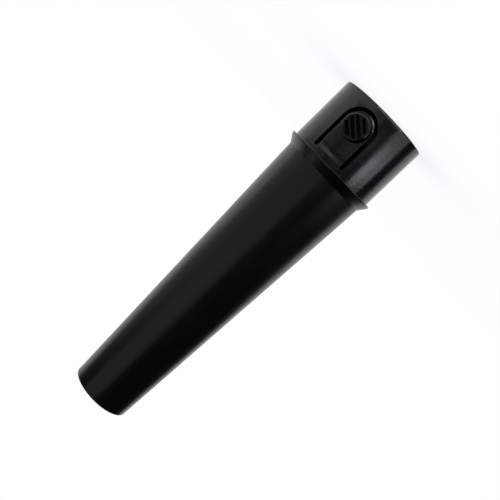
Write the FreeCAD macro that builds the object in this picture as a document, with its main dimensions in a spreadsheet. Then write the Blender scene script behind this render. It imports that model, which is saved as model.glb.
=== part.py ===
import FreeCAD, Part
import enum
import math
import os
import Sketcher

# Nozzle tube of a hand-held leaf blower, moulded in one piece of black plastic.
# The tube stands on the open end of its spigot. +Z runs along the airway from that end to the outlet,
# and the spring latch faces -Y. Lengths are in millimetres and angles in degrees.

NODE_NAME = "nozzle_tube"
TOLERANCE = 1e-4

SIZES = {
    # Tube and wall
    "total_length": 312.0,
    "wall": 2.4,
    "tip_diameter": 51.5,
    "cone_diameter": 73.2,
    # Spigot that pushes into the blower's outlet
    "spigot_diameter": 77.0,
    "spigot_length": 55.0,
    # Flared collar that stops against the blower's outlet
    "rim_diameter": 82.9,
    "rim_land": 1.2,
    "flare_length": 7.1,
    "flare_fillet": 1.6,
    "rim_round": 0.4,
    # Open ends: the outlet's outer edge, the spigot's lead-in and the edges of the bore
    "end_round": 0.6,
    "spigot_chamfer": 0.7,
    "bore_chamfer": 0.5,
    # Spring tongue, freed from the spigot's wall by a U-shaped slot
    "tongue_width": 23.6,
    "tongue_start": 9.0,
    "slot_width": 3.2,
    "slot_end_width": 2.5,
    "slot_setback": 3.7,
    "tongue_round": 0.2,
    # Thinned strip across the root of the tongue, where it bends
    "hinge_setback": 1.2,
    "hinge_ramp": 2.8,
    "hinge_floor": 2.6,
    "hinge_depth": 1.0,
    # Thumb button on the tongue, with slanted grip grooves that narrow towards their floor
    "button_diameter": 20.8,
    "button_setback": 2.9,
    "button_height": 2.9,
    "button_round": 1.3,
    "groove_width": 2.6,
    "groove_floor": 0.12,
    "groove_pitch": 4.1,
    "groove_depth": 1.9,
    "groove_margin": 1.5,
    "groove_tilt": 40.0,
}

# Lengths that follow from the sizes, as expressions that sketches and features are bound to
SPIGOT_RADIUS = "(Sizes.spigot_diameter / 2)"
CONE_RADIUS = "(Sizes.cone_diameter / 2)"
TIP_RADIUS = "(Sizes.tip_diameter / 2)"
RIM_RADIUS = "(Sizes.rim_diameter / 2)"
BORE_RADIUS = f"({SPIGOT_RADIUS} - Sizes.wall)"
CONE_BORE_RADIUS = f"({CONE_RADIUS} - Sizes.wall)"
TIP_BORE_RADIUS = f"({TIP_RADIUS} - Sizes.wall)"
RIM_TOP = "(Sizes.spigot_length + Sizes.rim_land)"
FLARE_TOP = f"({RIM_TOP} + Sizes.flare_length)"
TONGUE_HALF = "(Sizes.tongue_width / 2)"
TONGUE_CENTRE = f"(Sizes.tongue_start + {TONGUE_HALF})"
SLOT_HALF = "(Sizes.slot_width / 2)"
SLOT_OUTER = f"({TONGUE_HALF} + Sizes.slot_width)"
SLOT_CENTRE = f"(Sizes.tongue_start - Sizes.slot_end_width + {SLOT_OUTER})"
SLOT_TOP = "(Sizes.spigot_length - Sizes.slot_setback)"
SLOT_MIDDLE = f"({TONGUE_HALF} + {SLOT_HALF})"
HINGE_TOP = f"({SLOT_TOP} - Sizes.hinge_setback)"
HINGE_FLOOR_TOP = f"({HINGE_TOP} - Sizes.hinge_ramp)"
HINGE_BOTTOM = f"({HINGE_FLOOR_TOP} - Sizes.hinge_floor)"
HINGE_FLOOR_RADIUS = f"({SPIGOT_RADIUS} - Sizes.hinge_depth)"
HINGE_OUTER_RADIUS = f"({SPIGOT_RADIUS} + Sizes.hinge_depth)"
BUTTON_RADIUS = "(Sizes.button_diameter / 2)"
BUTTON_CENTRE = f"(Sizes.tongue_start + Sizes.button_setback + {BUTTON_RADIUS})"
BUTTON_FACE = f"({SPIGOT_RADIUS} + Sizes.button_height)"
GROOVE_HALF = "(Sizes.groove_width / 2)"
GROOVE_REACH = f"({BUTTON_RADIUS} - Sizes.groove_margin - {GROOVE_HALF})"
GROOVE_SLOPE = "atan((Sizes.groove_width - Sizes.groove_floor) / (2 * Sizes.groove_depth))"


class Spot(enum.IntEnum):
    """Sketcher's numbers for the points of an edge in a sketch."""

    START = 1
    END = 2
    CENTRE = 3


class Axis(enum.IntEnum):
    """Sketcher's numbers for the axes of a sketch, which meet at its origin."""

    ACROSS = -1
    UP = -2


ORIGIN = (Axis.ACROSS, Spot.START)


def make_sheet(doc):
    """Spreadsheet of the driving dimensions, one named cell each."""
    sheet = doc.addObject("Spreadsheet::Sheet", "Sizes")
    for row, (name, size) in enumerate(SIZES.items(), 1):
        sheet.set(f"A{row}", name)
        sheet.set(f"B{row}", str(size))
        sheet.setAlias(f"B{row}", name)
    doc.recompute()


def number(owner, expression):
    """What an expression of the sheet's sizes comes to."""
    return float(owner.evalExpression(expression))


def new_sketch(body, name, role, out="0", up="0", turn="0"):
    """Sketch on one of the body's own planes, moved out and up from it and turned about its normal."""
    sketch = body.newObject("Sketcher::SketchObject", name)
    plane = next(item for item in body.Origin.OriginFeatures if item.Role == role)
    sketch.AttachmentSupport = [(plane, "")]
    sketch.MapMode = "FlatFace"
    sketch.setExpression("AttachmentOffset.Base.z", out)
    sketch.setExpression("AttachmentOffset.Base.y", up)
    sketch.setExpression("AttachmentOffset.Rotation.Angle", turn)
    body.Document.recompute()
    return sketch


def bind(sketch, expression, kind, *points):
    """Dimension a sketch with a size that follows an expression."""
    constraint = Sketcher.Constraint(kind, *points, number(sketch, expression))
    index = sketch.addConstraint(constraint)
    sketch.setExpression(f"Constraints[{index}]", expression)


def pin_point(sketch, edge, point, across, up):
    """Hold a point of a sketch at the place that two expressions give."""
    for kind, axis, expression in (("DistanceX", Axis.UP, across), ("DistanceY", Axis.ACROSS, up)):
        if expression == "0":
            sketch.addConstraint(Sketcher.Constraint("PointOnObject", edge, point, axis))
        else:
            bind(sketch, expression, kind, *ORIGIN, edge, point)


def draw_polygon(sketch, corners):
    """Closed outline with straight sides between corners given as pairs of expressions."""
    places = [FreeCAD.Vector(number(sketch, across), number(sketch, up)) for across, up in corners]
    for start, end in zip(places, places[1:] + places[:1]):
        sketch.addGeometry(Part.LineSegment(start, end))
    for side in range(len(places)):
        following = (side + 1) % len(places)
        sketch.addConstraint(Sketcher.Constraint("Coincident", side, Spot.END, following, Spot.START))
    for side, (across, up) in enumerate(corners):
        pin_point(sketch, side, Spot.START, across, up)


def draw_arc(sketch, across, up, radius, first, last):
    """Arc about a centre, between two angles in degrees, and its index in the sketch."""
    circle = Part.Circle(FreeCAD.Vector(across, up), FreeCAD.Vector(0, 0, 1), radius)
    return sketch.addGeometry(Part.ArcOfCircle(circle, math.radians(first), math.radians(last)))


def join_smoothly(sketch, *joints):
    """Make pairs of edge ends meet and run on into each other."""
    for joint in joints:
        sketch.addConstraint(Sketcher.Constraint("Tangent", *joint))


def draw_latch_slot(sketch):
    """U-shaped slot round the tongue, narrower past its end, with round ends beside the hinge."""
    half = number(sketch, SLOT_HALF)
    middle = number(sketch, SLOT_MIDDLE)
    top = number(sketch, SLOT_TOP) - half
    borders = {"outer": (SLOT_OUTER, SLOT_CENTRE), "inner": (TONGUE_HALF, TONGUE_CENTRE)}
    places = {wall: [number(sketch, size) for size in border] for wall, border in borders.items()}
    arcs = {wall: draw_arc(sketch, 0, centre, radius, 180, 360) for wall, (radius, centre) in places.items()}
    for side in (1, -1):
        round_end = draw_arc(sketch, side * middle, top, half, 0, 180)
        runs = {}
        for wall, (radius, centre) in places.items():
            low = FreeCAD.Vector(side * radius, centre)
            high = FreeCAD.Vector(side * radius, top)
            runs[wall] = sketch.addGeometry(Part.LineSegment(low, high))
        right, left = (runs["outer"], runs["inner"]) if side > 0 else (runs["inner"], runs["outer"])
        arc_end = Spot.END if side > 0 else Spot.START
        join_smoothly(
            sketch,
            (arcs["outer"], arc_end, runs["outer"], Spot.START),
            (arcs["inner"], arc_end, runs["inner"], Spot.START),
            (right, Spot.END, round_end, Spot.START),
            (left, Spot.END, round_end, Spot.END),
        )
        sketch.addConstraint(Sketcher.Constraint("Vertical", runs["outer"]))
        bind(sketch, f"{SLOT_TOP} - {SLOT_HALF}", "DistanceY", *ORIGIN, round_end, Spot.CENTRE)
    for wall, (radius, centre) in borders.items():
        pin_point(sketch, arcs[wall], Spot.CENTRE, "0", centre)
        bind(sketch, radius, "Radius", arcs[wall])


def draw_grip_groove(sketch, offset):
    """One grip groove: a straight run with round ends that stop at the same margin from the button's edge."""
    reach = f"sqrt({GROOVE_REACH}^2 - ({offset})^2)"
    across, up, half = (number(sketch, size) for size in (reach, offset, GROOVE_HALF))
    right = draw_arc(sketch, across, up, half, -90, 90)
    left = draw_arc(sketch, -across, up, half, 90, 270)
    runs = []
    for level in (up + half, up - half):
        ends = (FreeCAD.Vector(across, level), FreeCAD.Vector(-across, level))
        runs.append(sketch.addGeometry(Part.LineSegment(*ends)))
    upper, lower = runs
    join_smoothly(
        sketch,
        (right, Spot.END, upper, Spot.START),
        (upper, Spot.END, left, Spot.START),
        (left, Spot.END, lower, Spot.END),
        (lower, Spot.START, right, Spot.START),
    )
    up_place = "0" if up == 0 else offset
    pin_point(sketch, right, Spot.CENTRE, reach, up_place)
    pin_point(sketch, left, Spot.CENTRE, f"-{reach}", up_place)
    bind(sketch, GROOVE_HALF, "Radius", right)
    sketch.addConstraint(Sketcher.Constraint("Equal", right, left))


def groove_offsets(sketch):
    """Distances of the grip grooves from the button's middle: as many as fit at their pitch."""
    room = 2 * number(sketch, GROOVE_REACH)
    count = int(room / number(sketch, "Sizes.groove_pitch")) + 1
    return [f"({index - (count - 1) / 2} * Sizes.groove_pitch)" for index in range(count)]


def revolve(body, kind, name, sketch, angle="360", midplane=False):
    """Revolution or Groove of a sketch about its own upright axis."""
    feature = body.newObject(f"PartDesign::{kind}", name)
    feature.Profile = sketch
    feature.ReferenceAxis = (sketch, ["V_Axis"])
    feature.Midplane = midplane
    feature.setExpression("Angle", angle)
    body.Document.recompute()
    return feature


def extrude(body, kind, name, sketch, length, outward, slope="0"):
    """Pad or Pocket of a sketch, outward along its normal or inward against it, with walls at a slope."""
    feature = body.newObject(f"PartDesign::{kind}", name)
    feature.Profile = sketch
    feature.Reversed = outward == (kind == "Pocket")
    feature.setExpression("Length", length)
    feature.setExpression("TaperAngle", slope)
    body.Document.recompute()
    return feature


def dress_edges(body, kind, name, size, chosen):
    """Fillet or Chamfer on those edges of the body so far for which chosen(edge) holds."""
    base = body.Tip
    names = [f"Edge{index}" for index, edge in enumerate(base.Shape.Edges, 1) if chosen(edge)]
    if not names:
        raise RuntimeError(f"{name} finds no edge")
    feature = body.newObject(f"PartDesign::{kind}", name)
    feature.Base = (base, names)
    feature.setExpression("Radius" if kind == "Fillet" else "Size", size)
    body.Document.recompute()


def is_ring(edge, radius, height):
    """Is the edge a circle about the tube's axis, with this radius and at this height?"""
    curve = edge.Curve
    if not isinstance(curve, Part.Circle):
        return False
    off_axis = math.hypot(curve.Center.x, curve.Center.y)
    gaps = (off_axis, curve.Radius - radius, curve.Center.z - height)
    return all(abs(gap) < TOLERANCE for gap in gaps)


def is_button_edge(edge, face, radius):
    """Is the edge the rim of the thumb button's face?"""
    curve = edge.Curve
    if not isinstance(curve, Part.Circle):
        return False
    return abs(curve.Center.y + face) < TOLERANCE and abs(curve.Radius - radius) < TOLERANCE


def is_tongue_edge(edge, half_width, centre, hinge, radius):
    """Does the edge run along the outside of the tongue's border, below the hinge?"""
    first, last = edge.ParameterRange
    places = [edge.valueAt(first + share * (last - first)) for share in (0.0, 0.3, 0.7, 1.0)]
    for place in places:
        from_middle = math.hypot(place.x, min(place.z - centre, 0.0))
        on_border = abs(from_middle - half_width) < TOLERANCE
        on_outside = abs(math.hypot(place.x, place.y) - radius) < TOLERANCE and place.y < 0
        if not (on_border and on_outside and place.z < hinge + TOLERANCE):
            return False
    return True


def check_changed(feature, grows):
    """Stop if a feature left the body's volume as it was or changed it the wrong way."""
    before = feature.BaseFeature.Shape.Volume
    after = feature.Shape.Volume
    if (after > before) != grows or math.isclose(after, before):
        raise RuntimeError(f"{feature.Name} changed the volume from {before} to {after}")


def add_outer_form(body):
    """Cone, flared collar and spigot, still solid, as one turned form."""
    sketch = new_sketch(body, "OuterSection", "XZ_Plane")
    draw_polygon(
        sketch,
        [
            ("0", "0"),
            (SPIGOT_RADIUS, "0"),
            (SPIGOT_RADIUS, "Sizes.spigot_length"),
            (RIM_RADIUS, "Sizes.spigot_length"),
            (RIM_RADIUS, RIM_TOP),
            (CONE_RADIUS, FLARE_TOP),
            (TIP_RADIUS, "Sizes.total_length"),
            ("0", "Sizes.total_length"),
        ],
    )
    revolve(body, "Revolution", "OuterForm", sketch)


def add_button(body):
    """Thumb button, raised from inside the spigot so that it stands proud of its wall."""
    sketch = new_sketch(body, "ButtonOutline", "XZ_Plane")
    middle = FreeCAD.Vector(0, number(sketch, BUTTON_CENTRE))
    circle = Part.Circle(middle, FreeCAD.Vector(0, 0, 1), number(sketch, BUTTON_RADIUS))
    ring = sketch.addGeometry(circle)
    pin_point(sketch, ring, Spot.CENTRE, "0", BUTTON_CENTRE)
    bind(sketch, BUTTON_RADIUS, "Radius", ring)
    check_changed(extrude(body, "Pad", "ThumbButton", sketch, BUTTON_FACE, outward=True), grows=True)
    face, radius = number(sketch, BUTTON_FACE), number(sketch, BUTTON_RADIUS)
    dress_edges(
        body, "Fillet", "ButtonRound", "Sizes.button_round", lambda edge: is_button_edge(edge, face, radius)
    )


def add_airway(body):
    """Bore right through the tube: straight in the spigot, then tapering with the cone."""
    sketch = new_sketch(body, "AirwaySection", "XZ_Plane")
    draw_polygon(
        sketch,
        [
            ("0", "0"),
            (BORE_RADIUS, "0"),
            (BORE_RADIUS, "Sizes.spigot_length"),
            (CONE_BORE_RADIUS, FLARE_TOP),
            (TIP_BORE_RADIUS, "Sizes.total_length"),
            ("0", "Sizes.total_length"),
        ],
    )
    check_changed(revolve(body, "Groove", "Airway", sketch), grows=False)


def dress_rings(body, kind, name, size, *rings):
    """Fillet or Chamfer on circular edges about the tube's axis, each given as its radius and height."""
    places = [(number(body, radius), number(body, height)) for radius, height in rings]
    dress_edges(body, kind, name, size, lambda edge: any(is_ring(edge, *place) for place in places))


def dress_ends(body):
    """Lead-in on the spigot, eased edges on the open ends and the rim, and a soft corner under the flare."""
    bore_ends = (BORE_RADIUS, "0"), (TIP_BORE_RADIUS, "Sizes.total_length")
    dress_rings(body, "Chamfer", "SpigotLead", "Sizes.spigot_chamfer", (SPIGOT_RADIUS, "0"))
    dress_rings(body, "Chamfer", "BoreEnds", "Sizes.bore_chamfer", *bore_ends)
    dress_rings(body, "Fillet", "TipRound", "Sizes.end_round", (TIP_RADIUS, "Sizes.total_length"))
    rim_edges = (RIM_RADIUS, "Sizes.spigot_length"), (RIM_RADIUS, RIM_TOP)
    dress_rings(body, "Fillet", "RimRounds", "Sizes.rim_round", *rim_edges)
    dress_rings(body, "Fillet", "FlareCorner", "Sizes.flare_fillet", (CONE_RADIUS, FLARE_TOP))


def add_latch(body):
    """Spring tongue: the U-shaped slot that frees it, its thinned hinge and its softened border."""
    slot = new_sketch(body, "LatchSlotOutline", "XZ_Plane")
    draw_latch_slot(slot)
    check_changed(extrude(body, "Pocket", "LatchSlot", slot, BUTTON_FACE, outward=True), grows=False)
    border = (TONGUE_HALF, TONGUE_CENTRE, HINGE_BOTTOM, SPIGOT_RADIUS)
    places = [number(body, expression) for expression in border]
    section = new_sketch(body, "HingeSection", "YZ_Plane")
    draw_polygon(
        section,
        [
            (f"-{HINGE_FLOOR_RADIUS}", HINGE_BOTTOM),
            (f"-{HINGE_FLOOR_RADIUS}", HINGE_FLOOR_TOP),
            (f"-{SPIGOT_RADIUS}", HINGE_TOP),
            (f"-{HINGE_OUTER_RADIUS}", HINGE_TOP),
            (f"-{HINGE_OUTER_RADIUS}", HINGE_BOTTOM),
        ],
    )
    sweep = f"2 * asin({SLOT_MIDDLE} / {SPIGOT_RADIUS})"
    hinge = revolve(body, "Groove", "HingeRecess", section, sweep, midplane=True)
    check_changed(hinge, grows=False)
    dress_edges(
        body, "Fillet", "TongueRound", "Sizes.tongue_round", lambda edge: is_tongue_edge(edge, *places)
    )


def add_grip(body):
    """Slanted grip grooves sunk into the thumb button's face."""
    sketch = new_sketch(
        body, "GripGrooveOutlines", "XZ_Plane", BUTTON_FACE, BUTTON_CENTRE, "-Sizes.groove_tilt"
    )
    for offset in groove_offsets(sketch):
        draw_grip_groove(sketch, offset)
    grooves = extrude(
        body, "Pocket", "GripGrooves", sketch, "Sizes.groove_depth", outward=False, slope=f"-{GROOVE_SLOPE}"
    )
    check_changed(grooves, grows=False)


def check_document(doc, body):
    """Stop before anything is written if a feature failed or the finished form isn't one sound solid."""
    failed = [item.Name for item in doc.Objects if {"Invalid", "Error"} & set(item.State)]
    if failed:
        raise RuntimeError(f"failed features: {failed}")
    shape = body.Shape
    if shape.isNull() or not shape.isValid() or len(shape.Solids) != 1:
        raise RuntimeError(f"{body.Label} is not one valid solid")


def main():
    """Build the tube and write it out."""
    doc = FreeCAD.newDocument("LeafBlowerNozzle")
    make_sheet(doc)
    body = doc.addObject("PartDesign::Body", "NozzleTube")
    body.Label = NODE_NAME
    add_outer_form(body)
    add_button(body)
    add_airway(body)
    dress_ends(body)
    add_latch(body)
    add_grip(body)
    doc.recompute()
    check_document(doc, body)
    os.makedirs("parts", exist_ok=True)
    body.Shape.exportStep(f"parts/{body.Label}.step")
    print(f"{body.Label}: {body.Shape.Volume / 1000:.1f} cubic centimetres")


main()
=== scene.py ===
import logging
import math
from collections.abc import Callable
from dataclasses import dataclass
from enum import Enum

import bpy
from mathutils import Matrix, Vector


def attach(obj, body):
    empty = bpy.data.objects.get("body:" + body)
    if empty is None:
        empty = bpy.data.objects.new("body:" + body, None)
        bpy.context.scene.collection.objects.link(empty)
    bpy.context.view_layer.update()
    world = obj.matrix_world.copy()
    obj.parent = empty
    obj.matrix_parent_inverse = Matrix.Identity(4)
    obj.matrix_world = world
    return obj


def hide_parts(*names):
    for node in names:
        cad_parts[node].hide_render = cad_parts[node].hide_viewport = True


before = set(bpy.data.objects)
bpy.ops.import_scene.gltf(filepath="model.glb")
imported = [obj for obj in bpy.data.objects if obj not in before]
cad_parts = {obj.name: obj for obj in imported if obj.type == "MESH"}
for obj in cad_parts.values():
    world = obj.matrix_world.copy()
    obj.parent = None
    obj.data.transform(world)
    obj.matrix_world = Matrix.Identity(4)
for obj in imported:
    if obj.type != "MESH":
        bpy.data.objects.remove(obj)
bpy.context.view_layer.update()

# Looks of a leaf blower's nozzle tube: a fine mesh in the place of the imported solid, its moulded finish,
# a white studio and the camera of the photograph. Lengths are in metres, angles are in degrees, and the
# latch faces -Y.

LOG = logging.getLogger("nozzle_tube")
MM = 0.001

Point = tuple[float, float, float]
Colour = tuple[float, float, float, float]

# A far point off the tube's planes of symmetry, from which the parts of a mesh are numbered.
SORT_FROM: Point = (0.731, -1.137, 0.419)
ROUND_PROFILE = 0.5

WHITE: Colour = (1.0, 1.0, 1.0, 1.0)
COOL_TINT: Point = (0.91, 0.96, 1.17)
STRIP_TINT: Point = (0.97, 0.95, 1.09)

# Screens stand on one ring about the tube, and most cloths reach in from it, just above the floor. A cloth
# rises a little towards the tube, and the upper layer of cloths lies over the lower one.
SCREEN_RING = 1.6
SCREEN_SHADE = 0.01
LOWER_OUTSIDE = 0.0003
LOWER_INSIDE = 0.0004
UPPER_OUTSIDE = 0.0008
UPPER_INSIDE = 0.0009


class Cut(Enum):
    """How a tool shape works on the piece that it meets."""

    AWAY = "DIFFERENCE"
    ON = "UNION"


def clear_selection() -> None:
    """Deselect everything, so that the next operator acts only on what it adds."""
    bpy.ops.object.select_all(action="DESELECT")


def edit(piece: bpy.types.Object) -> None:
    """Open a piece in edit mode, as the only one selected.

    Args:
        piece: The piece to open.
    """
    clear_selection()
    piece.select_set(True)
    bpy.context.view_layer.objects.active = piece
    bpy.ops.object.mode_set(mode="EDIT")


def close() -> None:
    """Leave edit mode."""
    bpy.ops.object.mode_set(mode="OBJECT")


def unpick(mesh: bpy.types.Mesh) -> None:
    """Clear what is selected in a mesh that is not open in edit mode.

    Args:
        mesh: The mesh.
    """
    for parts in (mesh.polygons, mesh.edges, mesh.vertices):
        parts.foreach_set("select", [False] * len(parts))


def pick_vertices(piece: bpy.types.Object, chosen: Callable[[Vector], bool]) -> int:
    """Open a piece with just the vertices selected that pass a test of their place.

    Args:
        piece: The piece to open.
        chosen: Test of a vertex by its place.

    Returns:
        How many vertices are selected.
    """
    mesh = piece.data
    unpick(mesh)
    picked = [vertex for vertex in mesh.vertices if chosen(vertex.co)]
    for vertex in picked:
        vertex.select = True
    bpy.context.tool_settings.mesh_select_mode = (True, False, False)
    edit(piece)
    return len(picked)


def pick_edges(piece: bpy.types.Object, chosen: Callable[[Vector], bool]) -> int:
    """Open a piece with just the edges selected whose two ends both pass a test of their place.

    Args:
        piece: The piece to open.
        chosen: Test of an edge's end by its place.

    Returns:
        How many edges are selected.
    """
    mesh = piece.data
    unpick(mesh)
    fits = [chosen(vertex.co) for vertex in mesh.vertices]
    picked = [edge for edge in mesh.edges if all(fits[end] for end in edge.vertices)]
    for edge in picked:
        edge.select = True
    bpy.context.tool_settings.mesh_select_mode = (False, True, False)
    edit(piece)
    return len(picked)


def round_picked(width: float, steps: int) -> None:
    """Bevel the selected edges and leave edit mode.

    Args:
        width: How far the bevel reaches from each edge.
        steps: How many faces the bevel has across it.
    """
    bpy.ops.mesh.bevel(
        offset=width, segments=steps, profile=ROUND_PROFILE, affect="EDGES", clamp_overlap=False
    )
    close()


def put_in_order(piece: bpy.types.Object) -> None:
    """Number a mesh by distance from one far point, because a cut leaves it in another order each run.

    Args:
        piece: The piece that was cut.
    """
    cursor = bpy.context.scene.cursor
    cursor.location = SORT_FROM
    edit(piece)
    bpy.ops.mesh.select_all(action="SELECT")
    bpy.ops.mesh.sort_elements(type="CURSOR_DISTANCE", elements={"VERT", "EDGE", "FACE"})
    close()
    cursor.location = (0.0, 0.0, 0.0)


def work(piece: bpy.types.Object, tool: bpy.types.Object, cut: Cut) -> None:
    """Cut a tool shape from a piece, or join it on, and remove the tool.

    Args:
        piece: The piece that changes.
        tool: The shape that works on it.
        cut: Whether the shape is taken away or joined on.
    """
    modifier = piece.modifiers.new(cut.name, "BOOLEAN")
    modifier.operation = cut.value
    modifier.solver = "EXACT"
    modifier.object = tool
    clear_selection()
    bpy.context.view_layer.objects.active = piece
    bpy.ops.object.modifier_apply(modifier=modifier.name)
    bpy.data.objects.remove(tool)
    put_in_order(piece)


@dataclass
class NozzleTube:
    """The tube: cone, flared collar and spigot, with the spring latch cut from the spigot's wall."""

    segments: int = 240
    length: float = 312.0 * MM
    wall: float = 2.4 * MM
    tip_radius: float = 25.75 * MM
    cone_radius: float = 36.6 * MM
    spigot_radius: float = 38.5 * MM
    spigot_length: float = 55.0 * MM
    rim_radius: float = 41.45 * MM
    rim_land: float = 1.2 * MM
    rim_round: float = 0.4 * MM
    shoulder_round: float = 0.55 * MM
    flare_length: float = 7.1 * MM
    flare_round: float = 0.46 * MM
    tip_round: float = 0.6 * MM
    lead_in: float = 0.7 * MM
    bore_chamfer: float = 0.5 * MM
    tongue_half: float = 11.8 * MM
    tongue_centre: float = 20.8 * MM
    slot_half: float = 15.0 * MM
    slot_centre: float = 21.5 * MM
    slot_top: float = 51.3 * MM
    tongue_round: float = 0.18 * MM
    slot_round: float = 0.2 * MM
    bevel_width: float = 1.0 * MM
    bevel_depth: float = 0.82 * MM
    bevel_end: float = 2.6 * MM
    run_out: float = 16.0
    run_out_steps: int = 8
    hinge_low: float = 44.7 * MM
    hinge_step: float = 0.5 * MM
    hinge_floor_top: float = 47.3 * MM
    hinge_high: float = 50.1 * MM
    hinge_depth: float = 1.0 * MM
    tool_clearance: float = 6.0 * MM
    tool_depth: float = 18.0 * MM
    bevel_tool_height: float = 4.0 * MM
    bevel_spare: float = 0.3 * MM
    latch_margin: float = 1.0 * MM
    tongue_steps: int = 96
    slot_end_steps: int = 10
    slot_end_ease: float = 1.001
    round_steps: int = 4
    edge_steps: int = 3
    slot_steps: int = 2
    near: float = 0.02 * MM
    near_border: float = 0.06 * MM
    near_latch: float = 0.1 * MM
    near_crease: float = 0.15 * MM
    latch_merge: float = 0.12 * MM
    last_merge: float = 0.005 * MM
    thinnest: float = 0.001 * MM
    hole_sides: int = 4
    flat_angle: float = 0.1
    smooth_angle: float = 32.0
    shading_weight: int = 60

    def section(self) -> list[tuple[float, float]]:
        """Closed section of the wall, from the spigot's lead-in over the outside and back through the bore.

        Returns:
            Pairs of radius and height.
        """
        flare_top = self.spigot_length + self.rim_land + self.flare_length
        bore = self.spigot_radius - self.wall
        tip_bore = self.tip_radius - self.wall
        hinge = (self.hinge_low, self.hinge_low + self.hinge_step, self.hinge_floor_top, self.hinge_high)
        return [
            (self.spigot_radius - self.lead_in, 0.0),
            (self.spigot_radius, self.lead_in),
            *((self.spigot_radius, height) for height in hinge),
            (self.spigot_radius, self.spigot_length),
            (self.rim_radius, self.spigot_length),
            (self.rim_radius, self.spigot_length + self.rim_land),
            (self.cone_radius, flare_top),
            (self.tip_radius, self.length),
            (tip_bore + self.bore_chamfer, self.length),
            (tip_bore, self.length - self.bore_chamfer),
            (self.cone_radius - self.wall, flare_top),
            (bore, self.spigot_length),
            (bore, self.bore_chamfer),
            (bore + self.bore_chamfer, 0.0),
        ]

    def build_wall(self) -> bpy.types.Object:
        """Extrude one ring along the section and close it on itself.

        Returns:
            The tube's wall, with no latch yet.
        """
        rings = self.section()
        radius, height = rings[0]
        clear_selection()
        bpy.ops.mesh.primitive_circle_add(vertices=self.segments, radius=radius)
        piece = bpy.context.object
        piece.name = piece.data.name = "moulded_tube"
        edit(piece)
        bpy.ops.mesh.select_all(action="SELECT")
        for next_radius, next_height in [*rings[1:], rings[0]]:
            rise = (0.0, 0.0, next_height - height)
            bpy.ops.mesh.extrude_region_move(TRANSFORM_OT_translate={"value": rise})
            spread = next_radius / radius
            bpy.ops.transform.resize(value=(spread, spread, 1.0), center_override=(0.0, 0.0, next_height))
            radius, height = next_radius, next_height
        bpy.ops.mesh.select_all(action="SELECT")
        bpy.ops.mesh.remove_doubles(threshold=self.near)
        bpy.ops.mesh.normals_make_consistent(inside=False)
        close()
        return piece

    def on_ring(self, place: Vector, radius: float, height: float) -> bool:
        """Tell whether a place lies on a ring about the tube's axis.

        Args:
            place: The place to test.
            radius: The ring's radius.
            height: The ring's height.

        Returns:
            True if it does.
        """
        return abs(place.z - height) < self.near and abs(place.xy.length - radius) < self.near

    def round_rings(self, piece: bpy.types.Object) -> None:
        """Round the rim of the collar, the corner under the flare and the outlet's edge.

        Args:
            piece: The tube's wall.
        """
        rim_top = self.spigot_length + self.rim_land
        rings = [
            (self.rim_radius, self.spigot_length, self.shoulder_round, self.round_steps),
            (self.rim_radius, rim_top, self.rim_round, self.edge_steps),
            (self.cone_radius, rim_top + self.flare_length, self.flare_round, self.round_steps),
            (self.tip_radius, self.length, self.tip_round, self.round_steps),
        ]
        for radius, height, width, steps in rings:
            pick_edges(piece, lambda place: self.on_ring(place, radius, height))
            round_picked(width, steps)

    def tongue_tool(self, half: float, centre: float, top: float) -> bpy.types.Object:
        """Upright block with a round lower end, which reaches through the wall on the latch's side only.

        Args:
            half: Half its width, and the radius of its lower end.
            centre: Height of that end's centre.
            top: Height of its flat upper end.

        Returns:
            The block.
        """
        near_side = -self.spigot_radius - self.tool_clearance
        far_side = -self.spigot_radius + self.tool_depth
        clear_selection()
        bpy.ops.mesh.primitive_plane_add(size=1.0, rotation=(math.pi / 2, 0.0, 0.0))
        tool = bpy.context.object
        tool.scale = (half, top - centre, 1.0)
        tool.location = (half / 2, near_side, (centre + top) / 2)
        bpy.ops.object.transform_apply(location=True, rotation=True, scale=True)
        pick_edges(tool, lambda place: abs(place.z - centre) < self.near)
        middle = (0.0, near_side, centre)
        bpy.ops.mesh.spin(steps=self.tongue_steps, angle=math.pi, center=middle, axis=(0.0, -1.0, 0.0))
        bpy.ops.mesh.select_all(action="SELECT")
        bpy.ops.mesh.remove_doubles(threshold=self.near)
        close()
        pick_edges(tool, lambda place: place.x < self.near and abs(place.z - centre) < self.near)
        bpy.ops.mesh.extrude_region_move(TRANSFORM_OT_translate={"value": (0.0, 0.0, top - centre)})
        bpy.ops.mesh.select_all(action="SELECT")
        bpy.ops.mesh.remove_doubles(threshold=self.near)
        bpy.ops.mesh.dissolve_limited(angle_limit=math.radians(self.flat_angle))
        depth = (0.0, far_side - near_side, 0.0)
        bpy.ops.mesh.extrude_region_move(TRANSFORM_OT_translate={"value": depth})
        bpy.ops.mesh.select_all(action="SELECT")
        bpy.ops.mesh.normals_make_consistent(inside=False)
        close()
        return tool

    def slot_tool(self) -> bpy.types.Object:
        """Shape of the U-shaped slot: a wide block less the tongue's, with its two upper ends rounded.

        The two rounds of an end stop just short of each other.

        Returns:
            The shape, which reaches through the wall on the latch's side only.
        """
        tool = self.tongue_tool(self.slot_half, self.slot_centre, self.slot_top)
        tongue_top = self.slot_top + self.latch_margin
        work(tool, self.tongue_tool(self.tongue_half, self.tongue_centre, tongue_top), Cut.AWAY)
        half = (self.slot_half - self.tongue_half) / 2
        for side in (1, -1):
            for across in (side * self.slot_half, side * self.tongue_half):

                def on_corner(place: Vector) -> bool:
                    """Is this on the corner of an upper end?"""
                    return abs(place.z - self.slot_top) < self.near and abs(place.x - across) < self.near

                pick_edges(tool, on_corner)
                round_picked(half / self.slot_end_ease, self.slot_end_steps)
        return tool

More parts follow.
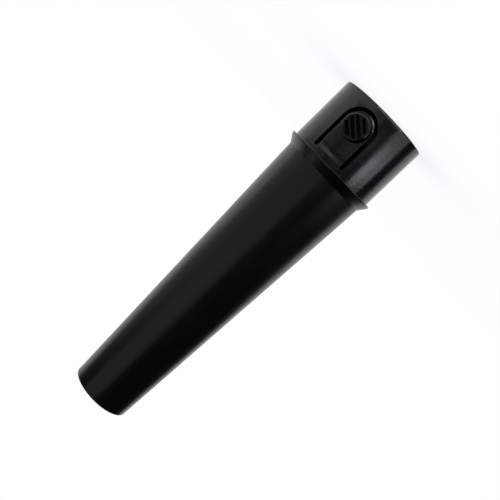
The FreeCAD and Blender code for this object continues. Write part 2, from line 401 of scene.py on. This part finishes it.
    def end_bevel_tool(self, piece: bpy.types.Object) -> bpy.types.Object:
        """Shape that bevels the tongue's round end, laid on the spigot's wall and lifted off at its ends.

        Args:
            piece: The tube's wall.

        Returns:
            The shape, from the bevel outwards.
        """
        spare = self.bevel_spare
        inner = self.tongue_half - self.bevel_width - spare
        outer = self.tongue_half + spare
        slope = self.bevel_depth / self.bevel_width
        middle = Vector((0.0, -self.spigot_radius - self.tool_clearance, self.tongue_centre))
        clear_selection()
        bpy.ops.mesh.primitive_circle_add(
            vertices=2 * self.tongue_steps, radius=outer, location=middle, rotation=(math.pi / 2, 0.0, 0.0)
        )
        tool = bpy.context.object
        bpy.ops.object.transform_apply(location=True, rotation=True, scale=False)
        pick_vertices(tool, lambda place: place.z > self.tongue_centre - self.bevel_end)
        bpy.ops.mesh.delete(type="VERT")
        bpy.ops.mesh.select_all(action="SELECT")
        bpy.ops.mesh.extrude_region_move(TRANSFORM_OT_translate={"value": (0.0, 0.0, 0.0)})
        bpy.ops.transform.resize(value=(inner / outer, 1.0, inner / outer), center_override=middle)
        close()
        modifier = tool.modifiers.new("lay_on", "SHRINKWRAP")
        modifier.wrap_method = "PROJECT"
        modifier.use_project_y = True
        modifier.target = piece
        bpy.ops.object.modifier_apply(modifier=modifier.name)
        for edge, rise in ((inner, -spare * slope), (outer, self.bevel_depth + spare * slope)):
            pick_vertices(tool, lambda place: abs(self.from_tongue(place) - edge) < self.near)
            bpy.ops.transform.translate(value=(0.0, rise, 0.0))
            close()
        first = math.degrees(math.asin(self.bevel_end / outer))
        lift = (self.bevel_depth + 2 * spare * slope) / self.run_out_steps
        for step in range(1, self.run_out_steps + 1):
            last = first + step * self.run_out / self.run_out_steps
            pick_vertices(tool, lambda place: self.below_side(place) < last)
            bpy.ops.transform.translate(value=(0.0, -lift, 0.0))
            close()
        pick_vertices(tool, lambda place: True)
        outwards = (0.0, -self.bevel_tool_height, 0.0)
        bpy.ops.mesh.extrude_region_move(TRANSFORM_OT_translate={"value": outwards})
        bpy.ops.mesh.select_all(action="SELECT")
        bpy.ops.mesh.normals_make_consistent(inside=False)
        close()
        return tool

    def below_side(self, place: Vector) -> float:
        """Angle of a place below the level of the tongue's round end's centre, in degrees."""
        return math.degrees(math.atan2(self.tongue_centre - place.z, abs(place.x)))

    def from_tongue(self, place: Vector) -> float:
        """Distance of a place from the middle of the tongue, seen along the button's axis."""
        return math.hypot(place.x, min(place.z - self.tongue_centre, 0.0))

    def from_slot(self, place: Vector) -> float:
        """Distance of a place from the middle line of the slot's outer border, seen the same way."""
        return math.hypot(place.x, min(place.z - self.slot_centre, 0.0))

    def outside(self, place: Vector) -> bool:
        """Tell whether a place is on the spigot's outside, on the latch's half of it."""
        return place.y < 0 and abs(place.xy.length - self.spigot_radius) < self.near_latch

    def cut_latch(self, piece: bpy.types.Object) -> None:
        """Free the tongue with the slot, sink its hinge and soften the edges along the slot.

        Args:
            piece: The tube's wall.
        """
        work(piece, self.end_bevel_tool(piece), Cut.AWAY)
        work(piece, self.slot_tool(), Cut.AWAY)
        reach = self.slot_half + self.latch_margin
        pick_vertices(piece, lambda place: place.y < 0 and self.from_slot(place) < reach)
        bpy.ops.mesh.remove_doubles(threshold=self.latch_merge)
        close()

        def tongue_border(place: Vector) -> bool:
            """Is this on the tongue's border, below the hinge?"""
            on_border = abs(self.from_tongue(place) - self.tongue_half) < self.near_border
            return on_border and place.z < self.hinge_low + self.near_latch and self.outside(place)

        def slot_border(place: Vector) -> bool:
            """Is this on the slot's outer border, below its round ends?"""
            on_border = abs(self.from_slot(place) - self.slot_half) < self.near_border
            return on_border and place.z < self.hinge_high and self.outside(place)

        LOG.info("tongue border: %d edges", pick_edges(piece, tongue_border))
        round_picked(self.tongue_round, self.edge_steps)
        LOG.info("slot border: %d edges", pick_edges(piece, slot_border))
        round_picked(self.slot_round, self.slot_steps)
        floor_heights = (self.hinge_low + self.hinge_step, self.hinge_floor_top)

        def hinge_floor(place: Vector) -> bool:
            """Is this on the strip across the tongue's root that is sunk?"""
            at_height = any(abs(place.z - height) < self.near for height in floor_heights)
            across = abs(place.x) < self.tongue_half + self.near_latch
            return at_height and across and self.outside(place)

        LOG.info("hinge floor: %d vertices", pick_vertices(piece, hinge_floor))
        bpy.ops.transform.translate(value=(0.0, self.hinge_depth, 0.0))
        close()

    def finish_mesh(self, piece: bpy.types.Object) -> None:
        """Close the mesh, point its faces outwards and shade it by its angles.

        Args:
            piece: The finished tube.
        """
        edit(piece)
        bpy.ops.mesh.select_all(action="SELECT")
        bpy.ops.mesh.remove_doubles(threshold=self.last_merge)
        bpy.ops.mesh.fill_holes(sides=self.hole_sides)
        bpy.ops.mesh.dissolve_degenerate(threshold=self.thinnest)
        bpy.ops.mesh.normals_make_consistent(inside=False)
        close()
        bpy.ops.object.shade_smooth_by_angle(angle=math.radians(self.smooth_angle))
        for height in (self.hinge_floor_top, self.hinge_high):

            def on_crease(place: Vector) -> bool:
                """Is this on a crease across the tongue's root, where the ramp starts or ends?"""
                across = abs(place.x) < self.tongue_half + self.near_latch
                level = abs(place.z - height) < self.near_crease
                return across and level and place.y < -self.spigot_radius / 2

            pick_edges(piece, on_crease)
            bpy.ops.mesh.mark_sharp()
            close()

        def on_bevel(place: Vector) -> bool:
            """Is this on the inner border of the bevel on the tongue's end?"""
            off_border = self.from_tongue(place) - self.tongue_half + self.bevel_width
            low = place.z < self.tongue_centre - self.bevel_end + self.near
            return abs(off_border) < self.near_latch and low and self.outside(place)

        LOG.info("bevel border: %d edges", pick_edges(piece, on_bevel))
        bpy.ops.mesh.mark_sharp()
        close()
        modifier = piece.modifiers.new("even_shading", "WEIGHTED_NORMAL")
        modifier.keep_sharp = True
        modifier.weight = self.shading_weight
        bpy.ops.object.modifier_apply(modifier=modifier.name)

    def build(self, button: "ThumbButton") -> bpy.types.Object:
        """Model the tube with its latch and thumb button.

        Args:
            button: The thumb button that stands on the tongue.

        Returns:
            The finished piece.
        """
        piece = self.build_wall()
        self.round_rings(piece)
        self.cut_latch(piece)
        work(piece, button.build(self), Cut.ON)
        self.finish_mesh(piece)
        return piece


@dataclass
class ThumbButton:
    """The round button on the tongue, with a drafted side and slanted grip grooves in its face."""

    radius: float = 10.4 * MM
    centre_height: float = 22.3 * MM
    height: float = 2.9 * MM
    root: float = 2.0 * MM
    root_radius: float = 11.6 * MM
    edge_round: float = 1.1 * MM
    groove_width: float = 2.6 * MM
    groove_floor: float = 0.12 * MM
    groove_pitch: float = 4.1 * MM
    groove_depth: float = 1.9 * MM
    groove_margin: float = 1.5 * MM
    groove_tilt: float = 40.0
    grooves: int = 4
    groove_above: float = 0.5 * MM
    groove_segments: int = 32
    segments: int = 128
    edge_steps: int = 5
    near: float = 0.02 * MM

    def groove_tool(self, centre: Vector, offset: float) -> bpy.types.Object:
        """Shape of one grip groove: a straight run with round ends that narrows towards its floor.

        Args:
            centre: Middle of the button's face.
            offset: Distance of the groove from that middle, across its run.

        Returns:
            The shape, from above the face down to the groove's floor.
        """
        half = self.groove_width / 2
        reach = math.sqrt((self.radius - self.groove_margin - half) ** 2 - offset**2)
        slope = (half - self.groove_floor / 2) / self.groove_depth
        above = self.groove_above
        clear_selection()
        bpy.ops.mesh.primitive_cone_add(
            vertices=self.groove_segments,
            radius1=half + slope * above,
            radius2=self.groove_floor / 2,
            depth=above + self.groove_depth,
            rotation=(-math.pi / 2, 0.0, 0.0),
        )
        tool = bpy.context.object
        bpy.ops.object.transform_apply(location=False, rotation=True, scale=False)
        for side in (1, -1):
            pick_vertices(tool, lambda place: place.x * side > self.near / 2)
            bpy.ops.transform.translate(value=(side * reach, 0.0, 0.0))
            close()
        tool.location = (0.0, 0.0, offset)
        bpy.ops.object.transform_apply(location=True, rotation=False, scale=False)
        tool.rotation_euler = (0.0, math.radians(self.groove_tilt), 0.0)
        tool.location = centre + Vector((0.0, (self.groove_depth - above) / 2, 0.0))
        bpy.ops.object.transform_apply(location=True, rotation=True, scale=False)
        return tool

    def build(self, tube: NozzleTube) -> bpy.types.Object:
        """Model the button where it stands on the tube's tongue.

        Args:
            tube: The tube that carries it.

        Returns:
            The button, which reaches down into the tongue's wall.
        """
        face = -(tube.spigot_radius + self.height)
        depth = self.height + self.root
        centre = Vector((0.0, face, self.centre_height))
        clear_selection()
        bpy.ops.mesh.primitive_cylinder_add(
            vertices=self.segments,
            radius=self.radius,
            depth=depth,
            location=centre + Vector((0.0, depth / 2, 0.0)),
            rotation=(math.pi / 2, 0.0, 0.0),
        )
        button = bpy.context.object
        bpy.ops.object.transform_apply(location=True, rotation=True, scale=False)
        pick_vertices(button, lambda place: abs(place.y - face) > self.near)
        spread = self.root_radius / self.radius
        bpy.ops.transform.resize(value=(spread, 1.0, spread), center_override=centre)
        close()
        pick_edges(button, lambda place: abs(place.y - face) < self.near)
        round_picked(self.edge_round, self.edge_steps)
        for index in range(self.grooves):
            offset = (index - (self.grooves - 1) / 2) * self.groove_pitch
            work(button, self.groove_tool(centre, offset), Cut.AWAY)
        return button


@dataclass(frozen=True)
class MouldedPlastic:
    """Black plastic as it leaves the mould: finely grained on the cone and collar, smoother on the spigot.

    Faint waves run over all of it, and a cloudy pattern varies its colour and roughness a little.
    """

    name: str = "black_plastic_moulded"
    colour: Colour = (0.0010, 0.0010, 0.0012, 1.0)
    worn_colour: Colour = (0.0035, 0.0035, 0.0042, 1.0)
    cone_roughness: float = 0.305
    spigot_roughness: float = 0.19
    roughness_spread: float = 0.03
    refraction: float = 1.5
    grain_scale: float = 2600.0
    grain_detail: float = 2.0
    grain_height: float = 0.02 * MM
    cone_grain: float = 0.30
    spigot_grain: float = 0.06
    wave_scale: float = 330.0
    wave_detail: float = 1.0
    wave_height: float = 0.05 * MM
    cone_waves: float = 0.5
    spigot_waves: float = 1.0
    cloud_scale: float = 45.0
    cloud_detail: float = 4.0
    cloud_low: float = 0.3
    cloud_high: float = 0.7
    worn_low: float = 0.55
    worn_high: float = 0.95
    worn_share: float = 0.35
    collar_height: float = 56.4 * MM
    collar_blend: float = 0.4 * MM

    def build(self) -> bpy.types.Material:
        """Make the material.

        Returns:
            The material, with its patterns on object coordinates.
        """
        material = bpy.data.materials.new(self.name)
        material.use_nodes = True
        tree = material.node_tree
        shader = tree.nodes["Principled BSDF"]
        shader.inputs["IOR"].default_value = self.refraction
        place = tree.nodes.new("ShaderNodeTexCoord").outputs["Object"]
        split = tree.nodes.new("ShaderNodeSeparateXYZ")
        tree.links.new(place, split.inputs[0])
        zone = tree.nodes.new("ShaderNodeMapRange")
        zone.interpolation_type = "SMOOTHSTEP"
        zone.inputs["From Min"].default_value = self.collar_height - self.collar_blend
        zone.inputs["From Max"].default_value = self.collar_height
        tree.links.new(split.outputs["Z"], zone.inputs["Value"])
        cloud = self.noise(tree, place, self.cloud_scale, self.cloud_detail)
        grain = self.noise(tree, place, self.grain_scale, self.grain_detail)
        tone = tree.nodes.new("ShaderNodeMix")
        tone.data_type = "RGBA"
        tone.inputs["A"].default_value = self.colour
        tone.inputs["B"].default_value = self.worn_colour
        worn = self.ranged(tree, cloud, self.worn_low, self.worn_high, 0.0, self.worn_share)
        tree.links.new(worn, tone.inputs["Factor"])
        tree.links.new(tone.outputs["Result"], shader.inputs["Base Color"])
        rough = self.between(tree, zone.outputs[0], self.spigot_roughness, self.cone_roughness)
        varied = tree.nodes.new("ShaderNodeMath")
        varied.operation = "ADD"
        tree.links.new(rough, varied.inputs[0])
        spread = self.roughness_spread
        patches = self.ranged(tree, cloud, self.cloud_low, self.cloud_high, -spread, spread)
        tree.links.new(patches, varied.inputs[1])
        tree.links.new(varied.outputs[0], shader.inputs["Roughness"])
        waves = tree.nodes.new("ShaderNodeBump")
        waves.inputs["Distance"].default_value = self.wave_height
        ripple = self.noise(tree, place, self.wave_scale, self.wave_detail)
        tree.links.new(ripple, waves.inputs["Height"])
        wave_strength = self.between(tree, zone.outputs[0], self.spigot_waves, self.cone_waves)
        tree.links.new(wave_strength, waves.inputs["Strength"])
        bump = tree.nodes.new("ShaderNodeBump")
        tree.links.new(waves.outputs["Normal"], bump.inputs["Normal"])
        bump.inputs["Distance"].default_value = self.grain_height
        grain_strength = self.between(tree, zone.outputs[0], self.spigot_grain, self.cone_grain)
        tree.links.new(grain_strength, bump.inputs["Strength"])
        tree.links.new(grain, bump.inputs["Height"])
        tree.links.new(bump.outputs["Normal"], shader.inputs["Normal"])
        return material

    def noise(
        self, tree: bpy.types.NodeTree, place: bpy.types.NodeSocket, scale: float, detail: float
    ) -> bpy.types.NodeSocket:
        """Add a noise pattern.

        Args:
            tree: The material's nodes.
            place: Where the pattern is read.
            scale: Waves in a metre.
            detail: How many finer layers it has.

        Returns:
            The pattern, from 0 to 1.
        """
        node = tree.nodes.new("ShaderNodeTexNoise")
        node.inputs["Scale"].default_value = scale
        node.inputs["Detail"].default_value = detail
        tree.links.new(place, node.inputs["Vector"])
        return node.outputs["Fac"]

    def ranged(
        self,
        tree: bpy.types.NodeTree,
        value: bpy.types.NodeSocket,
        low: float,
        high: float,
        to_low: float,
        to_high: float,
    ) -> bpy.types.NodeSocket:
        """Map a range of a value to another range.

        Args:
            tree: The material's nodes.
            value: The value to map.
            low: Where the first range starts.
            high: Where it ends.
            to_low: What its start becomes.
            to_high: What its end becomes.

        Returns:
            The mapped value.
        """
        node = tree.nodes.new("ShaderNodeMapRange")
        for name, number in (("From Min", low), ("From Max", high), ("To Min", to_low), ("To Max", to_high)):
            node.inputs[name].default_value = number
        tree.links.new(value, node.inputs["Value"])
        return node.outputs[0]

    def between(
        self, tree: bpy.types.NodeTree, share: bpy.types.NodeSocket, spigot: float, cone: float
    ) -> bpy.types.NodeSocket:
        """Pass from the spigot's value to the cone's at the collar.

        Args:
            tree: The material's nodes.
            share: 0 on the spigot and 1 on the cone.
            spigot: The value on the spigot.
            cone: The value on the cone.

        Returns:
            The value where the surface is.
        """
        return self.ranged(tree, share, 0.0, 1.0, spigot, cone)


@dataclass(frozen=True)
class SoftPanel:
    """An upright soft lamp that faces the tube's axis.

    Its bearing is in degrees about that axis, from the latch's side towards -X.
    """

    name: str
    bearing: float
    distance: float
    low: float
    high: float
    width: float
    brightness: float
    tint: Point

    def build(self) -> bpy.types.Object:
        """Hang the lamp.

        Returns:
            The lamp's object.
        """
        angle = math.radians(self.bearing)
        outward = Vector((-math.sin(angle), -math.cos(angle), 0.0))
        middle = Vector((0.0, 0.0, (self.low + self.high) / 2))
        clear_selection()
        bpy.ops.object.light_add(type="AREA", location=outward * self.distance + middle)
        lamp = bpy.context.object
        lamp.name = self.name
        lamp.data.shape = "RECTANGLE"
        lamp.data.size = self.width
        lamp.data.size_y = self.high - self.low
        lamp.data.color = self.tint
        lamp.data.energy = self.brightness * math.pi * self.width * (self.high - self.low)
        lamp.rotation_euler = outward.to_track_quat("Z", "Y").to_euler()
        return lamp


@dataclass(frozen=True)
class Flag:
    """Cloth or card stretched from a lower ring to an upper one about a centre, over a range of bearings.

    Only reflections see it, so it darkens nothing by its shadow.
    """

    name: str
    first_bearing: float
    last_bearing: float
    low_radius: float
    low: float
    high_radius: float
    high: float
    shade: float
    glow: float = 0.0
    centre: tuple[float, float] = (0.0, 0.0)
    tint: Point = (0.96, 0.98, 1.08)
    segments: int = 360

    def build(self) -> bpy.types.Object:
        """Set the flag up.

        Returns:
            The flag.
        """
        clear_selection()
        bpy.ops.mesh.primitive_cone_add(
            vertices=self.segments,
            radius1=self.low_radius,
            radius2=self.high_radius,
            depth=self.high - self.low,
            end_fill_type="NOTHING",
            location=(*self.centre, (self.low + self.high) / 2),
        )
        flag = bpy.context.object
        flag.name = self.name
        middle = (self.first_bearing + self.last_bearing) / 2
        spread = (self.last_bearing - self.first_bearing) / 2

        def spare(place: Vector) -> bool:
            """Is this outside the flag's range of bearings?"""
            bearing = math.degrees(math.atan2(-place.x, -place.y))
            off = abs((bearing - middle + 180.0) % 360.0 - 180.0)
            return off > spread

        pick_vertices(flag, spare)
        bpy.ops.mesh.delete(type="VERT")
        close()
        material = bpy.data.materials.new("flag_cloth")
        material.use_nodes = True
        shader = material.node_tree.nodes["Principled BSDF"]
        shader.inputs["Base Color"].default_value = (*(self.shade * part for part in self.tint), 1.0)
        shader.inputs["Roughness"].default_value = 1.0
        shader.inputs["Specular IOR Level"].default_value = 0.0
        shader.inputs["Emission Color"].default_value = WHITE
        shader.inputs["Emission Strength"].default_value = self.glow
        flag.data.materials.append(material)
        for ray in ("camera", "diffuse", "transmission", "shadow"):
            setattr(flag, f"visible_{ray}", False)
        return flag


@dataclass(frozen=True)
class Studio:
    """White studio: a pale floor, an even white surround and soft lamps.

    Dark screens, grey cloths and one bright card shape what the plastic reflects.
    """

    floor_size: float = 8.0
    floor_colour: Colour = (0.5, 0.5, 0.5, 1.0)
    floor_roughness: float = 0.9
    floor_tint: Colour = (0.97, 0.98, 1.05, 1.0)
    floor_glow: float = 0.7
    foot_radius: float = 37.3 * MM
    surround_light: float = 0.6
    flags: tuple[Flag, ...] = (
        Flag("left_screen", -86.0, -19.5, SCREEN_RING, 0.04, SCREEN_RING, 0.5, SCREEN_SHADE),
        Flag("low_screen", -20.5, 134.0, SCREEN_RING, 0.001, SCREEN_RING, 0.5, SCREEN_SHADE),
        Flag("high_screen", -101.0, 146.0, SCREEN_RING, 0.5, SCREEN_RING, 2.4, SCREEN_SHADE),
        Flag("ceiling", -60.0, 150.0, SCREEN_RING, 2.4, 0.02, 2.401, SCREEN_SHADE),
        Flag("left_cloth", -45.0, -5.0, SCREEN_RING, LOWER_OUTSIDE, 0.11, LOWER_INSIDE, 0.28),
        Flag("front_cloth", -5.0, 24.0, SCREEN_RING, LOWER_OUTSIDE, 0.20, LOWER_INSIDE, 0.28),
        Flag("latch_cloth", 1.0, 44.0, SCREEN_RING, UPPER_OUTSIDE, 0.20, UPPER_INSIDE, 0.74),
        Flag("tongue_cloth", -46.0, -24.0, SCREEN_RING, UPPER_OUTSIDE, 0.45, UPPER_INSIDE, 0.48),
        Flag("end_cloth", -5.0, 28.0, 0.20, LOWER_OUTSIDE, 0.046, LOWER_INSIDE, 0.80),
        Flag(
            "right_cloth", 20.0, 55.1, SCREEN_RING, LOWER_OUTSIDE, 0.039, LOWER_INSIDE, 0.28,
            centre=(0.0, -0.017),
        ),
        Flag(
            "side_cloth", 97.2, 129.0, SCREEN_RING, LOWER_OUTSIDE, 0.012, LOWER_INSIDE, 0.08,
            centre=(-0.0225, -0.0230),
        ),
        Flag("far_cloth", 55.0, 97.2, SCREEN_RING, LOWER_OUTSIDE, 0.41, LOWER_INSIDE, 0.05),
        # A dark ring round the tube's foot that only reflections see: painted shadow, in place of the
        # contact shadow that the floor's glow leaves out.
        Flag("painted_foot_shadow", -100.0, 130.0, 0.0402, LOWER_OUTSIDE, 0.0382, LOWER_INSIDE, 0.05),
        Flag("near_card", -2.0, 42.0, 0.0440, 0.0005, 0.0402, 0.00051, 0.5, glow=3.6),
    )
    lamps: tuple[SoftPanel, ...] = (
        SoftPanel("front_softbox", -13.6, 0.95, 0.10, 1.10, 1.06, 0.36, COOL_TINT),
        SoftPanel("side_panel", -69.0, 0.90, 0.10, 0.60, 0.80, 0.35, COOL_TINT),
        SoftPanel("bright_strip", 66.8, 0.40, 0.0, 0.045, 0.12, 4.0, STRIP_TINT),
        SoftPanel("soft_strip", 84.8, 0.40, 0.0, 0.045, 0.134, 2.2, STRIP_TINT),
    )

    def white_to_camera(
        self, tree: bpy.types.NodeTree, lit: bpy.types.NodeSocket, white: bpy.types.NodeSocket
    ) -> bpy.types.NodeSocket:
        """Show plain white to the camera and to reflections, and the lit shader to the rest.

        Args:
            tree: The world's nodes.
            lit: What light sees.
            white: What the camera, reflections and clear things see.

        Returns:
            The mixed shader.
        """
        path = tree.nodes.new("ShaderNodeLightPath")
        seen = path.outputs["Is Camera Ray"]
        for ray in ("Is Glossy Ray", "Is Transmission Ray"):
            either = tree.nodes.new("ShaderNodeMath")
            either.operation = "MAXIMUM"
            tree.links.new(seen, either.inputs[0])
            tree.links.new(path.outputs[ray], either.inputs[1])
            seen = either.outputs[0]
        mix = tree.nodes.new("ShaderNodeMixShader")
        tree.links.new(seen, mix.inputs["Fac"])
        tree.links.new(lit, mix.inputs[1])
        tree.links.new(white, mix.inputs[2])
        return mix.outputs[0]

    def build_surround(self) -> None:
        """Make the world: soft light on the tube, and white behind it."""
        world = bpy.data.worlds.new("studio_surround")
        world.use_nodes = True
        bpy.context.scene.world = world
        tree = world.node_tree
        lit = tree.nodes["Background"]
        lit.inputs["Color"].default_value = WHITE
        lit.inputs["Strength"].default_value = self.surround_light
        white = tree.nodes.new("ShaderNodeBackground")
        white.inputs["Color"].default_value = WHITE
        shown = self.white_to_camera(tree, lit.outputs[0], white.outputs[0])
        tree.links.new(shown, tree.nodes["World Output"].inputs["Surface"])

    def outside_bore(self, tree: bpy.types.NodeTree) -> bpy.types.NodeSocket:
        """Glow of the floor, with none inside the tube, where little light gets in.

        Args:
            tree: The floor's nodes.

        Returns:
            The strength of the glow.
        """
        place = tree.nodes.new("ShaderNodeTexCoord").outputs["Object"]
        reach = tree.nodes.new("ShaderNodeVectorMath")
        reach.operation = "LENGTH"
        tree.links.new(place, reach.inputs[0])
        beyond = tree.nodes.new("ShaderNodeMath")
        beyond.operation = "GREATER_THAN"
        beyond.inputs[1].default_value = self.foot_radius
        tree.links.new(reach.outputs["Value"], beyond.inputs[0])
        glow = tree.nodes.new("ShaderNodeMath")
        glow.operation = "MULTIPLY"
        glow.inputs[1].default_value = self.floor_glow
        tree.links.new(beyond.outputs[0], glow.inputs[0])
        return glow.outputs[0]

    def build_floor(self) -> bpy.types.Object:
        """Lay the floor that the tube stands on.

        Returns:
            The floor.
        """
        clear_selection()
        bpy.ops.mesh.primitive_plane_add(size=self.floor_size)
        floor = bpy.context.object
        floor.name = "floor"
        material = bpy.data.materials.new("floor_paint")
        material.use_nodes = True
        tree = material.node_tree
        shader = tree.nodes["Principled BSDF"]
        shader.inputs["Base Color"].default_value = self.floor_colour
        shader.inputs["Roughness"].default_value = self.floor_roughness
        shader.inputs["Specular IOR Level"].default_value = 0.0
        shader.inputs["Emission Color"].default_value = self.floor_tint
        tree.links.new(self.outside_bore(tree), shader.inputs["Emission Strength"])
        floor.data.materials.append(material)
        return floor

    def build(self) -> None:
        """Set up the studio."""
        self.build_surround()
        LOG.info("studio %s", self.build_floor().name)
        for item in (*self.flags, *self.lamps):
            LOG.info("studio %s", item.build().name)


@dataclass(frozen=True)
class PhotoCamera:
    """The camera of the photograph, as its place and the directions of the picture's sides."""

    eye: Point = (-0.144378, -0.603696, 0.060667)
    right: Point = (-0.654122, 0.253402, -0.712680)
    down: Point = (-0.721084, 0.075590, 0.688712)
    lens: float = 57.4508
    sensor_width: float = 36.0
    nearest: float = 0.01

    def build(self) -> bpy.types.Object:
        """Set the camera up as the scene's own.

        Returns:
            The camera's object.
        """
        clear_selection()
        bpy.ops.object.camera_add()
        camera = bpy.context.object
        camera.name = "photo_camera"
        camera.data.lens = self.lens
        camera.data.sensor_width = self.sensor_width
        camera.data.clip_start = self.nearest
        right = Vector(self.right).normalized()
        up = -Vector(self.down).normalized()
        back = right.cross(up)
        turn = Matrix((right, up, back)).transposed()
        camera.matrix_world = Matrix.Translation(self.eye) @ turn.to_4x4()
        bpy.context.scene.camera = camera
        return camera


def main() -> None:
    """Build the camera, the studio and the tube, and report each piece."""
    logging.basicConfig(level=logging.INFO, format="%(name)s: %(message)s")
    bpy.context.scene.view_settings.view_transform = "Standard"
    LOG.info("camera %s", PhotoCamera().build().name)
    Studio().build()
    piece = NozzleTube().build(ThumbButton())
    piece.data.materials.clear()
    piece.data.materials.append(MouldedPlastic().build())
    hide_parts("nozzle_tube")
    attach(piece, "root")
    LOG.info("piece %s: %d faces", piece.name, len(piece.data.polygons))


if __name__ == "__main__":
    main()
